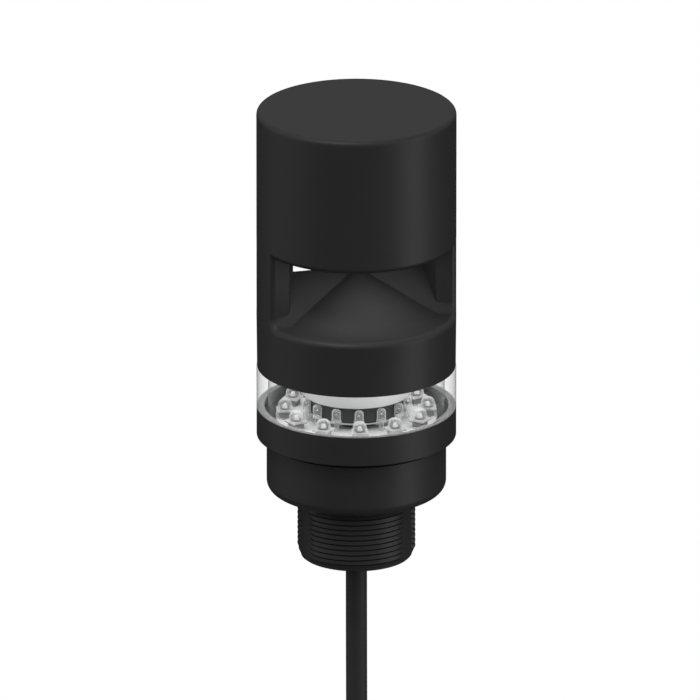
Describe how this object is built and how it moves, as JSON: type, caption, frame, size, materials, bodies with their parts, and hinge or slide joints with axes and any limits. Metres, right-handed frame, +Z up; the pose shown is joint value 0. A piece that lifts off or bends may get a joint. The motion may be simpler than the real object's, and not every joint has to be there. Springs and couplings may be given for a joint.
{
  "type": "stack light",
  "caption": "Slim column signal light: black round housing with one clear light segment, open sound windows over a deflector cone, and a threaded boss with a cable out of its centre.",
  "frame": {"origin": "on the column's axis, in the plane of the base's underside that seats on the mounting panel", "axes": "+Z up the column, -Y towards the side that the picture shows from the front, +X to its right"},
  "size_m": [0.0792, 0.05, 0.3067],
  "materials": {
    "black_housing": "satin moulded plastic with a fine grain",
    "clear_lens": "clear polished polycarbonate",
    "clear_optic": "clear moulded resin",
    "pale_board": "pale solder resist",
    "green_board": "green solder resist",
    "dark_core": "matt moulded plastic",
    "grey_reflector": "light grey moulded plastic",
    "rubber_seal": "matt",
    "steel": "zinc plated",
    "ferrite": "matt sintered",
    "coil_wire": "enamelled copper wire",
    "cone_film": "matt film",
    "component": "smooth",
    "wire": "smooth insulation",
    "cable_jacket": "smooth",
    "tie_nylon": "smooth"
  },
  "bodies": {
    "root": {"bare_leads": "wire", "base_housing": "black_housing", "base_screws": "steel", "base_seal": "rubber_seal", "cable": "cable_jacket", "cable_coil": "cable_jacket", "cable_tie": "tie_nylon", "capacitor": "component", "collar": "black_housing", "core_ring": "grey_reflector", "core_tube": "dark_core", "diaphragm": "cone_film", "driver_board": "green_board", "grommet": "rubber_seal", "head_cap": "black_housing", "head_housing": "black_housing", "led_01": "clear_optic", "led_02": "clear_optic", "led_03": "clear_optic", "led_04": "clear_optic", "led_05": "clear_optic", "led_06": "clear_optic", "led_07": "clear_optic", "led_08": "clear_optic", "led_09": "clear_optic", "led_10": "clear_optic", "led_11": "clear_optic", "led_12": "clear_optic", "led_board": "pale_board", "lens": "clear_lens", "lens_seal_lower": "rubber_seal", "lens_seal_upper": "rubber_seal", "light_guide_01": "clear_optic", "light_guide_02": "clear_optic", "light_guide_03": "clear_optic", "light_guide_04": "clear_optic", "light_guide_05": "clear_optic", "light_guide_06": "clear_optic", "light_guide_07": "clear_optic", "light_guide_08": "clear_optic", "light_guide_09": "clear_optic", "light_guide_10": "clear_optic", "light_guide_11": "clear_optic", "light_guide_12": "clear_optic", "light_guide_13": "clear_optic", "light_guide_14": "clear_optic", "link_board": "green_board", "link_harness": "wire", "reflector": "grey_reflector", "sounder_board": "green_board", "sounder_frame": "steel", "sounder_gasket": "rubber_seal", "sounder_lead": "wire", "sounder_magnet": "ferrite", "supply_leads": "wire", "terminal_block": "component", "voice_coil": "coil_wire"}
  },
  "joints": []
}
